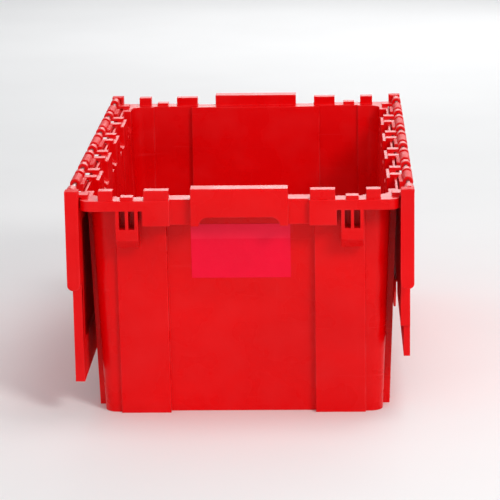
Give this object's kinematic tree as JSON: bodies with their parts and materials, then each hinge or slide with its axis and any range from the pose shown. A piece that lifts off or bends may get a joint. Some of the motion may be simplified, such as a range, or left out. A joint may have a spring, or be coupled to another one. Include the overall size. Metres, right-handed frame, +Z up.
{
  "type": "attached lid tote",
  "caption": "Tapered plastic storage and distribution tub with two interlocking half lids that hinge on steel rods along its long sides and fold down beside it.",
  "frame": {"origin": "centre of the base, on the surface the tote stands on", "axes": "+Z up, +Y along the tote's length, +X across it; the labelled end faces -Y"},
  "size_m": [0.432, 0.686, 0.3],
  "materials": {
    "red_tub": "moulded polypropylene, semi-gloss",
    "red_lid": "moulded polypropylene, semi-gloss",
    "rod_steel": "bright drawn wire",
    "label": "smooth film, blank"
  },
  "bodies": {
    "tub": {"tub": "red_tub", "hinge_rod_left": "rod_steel", "hinge_rod_right": "rod_steel", "end_label": "label"},
    "lid_left": {"lid_left": "red_lid"},
    "lid_right": {"lid_right": "red_lid"}
  },
  "joints": [
    {"name": "lid_right_hinge", "type": "hinge", "parent": "tub", "child": "lid_right", "pos_m": [0.2095, 0, 0.291], "axis": [0, -1, 0], "range_deg": [0, 270]},
    {"name": "lid_left_hinge", "type": "hinge", "parent": "tub", "child": "lid_left", "pos_m": [-0.2095, 0, 0.291], "axis": [0, 1, 0], "range_deg": [0, 270]}
  ],
  "couplings": [
    {"joint": "lid_left_hinge", "follows": "lid_right_hinge", "ratio": 1}
  ]
}
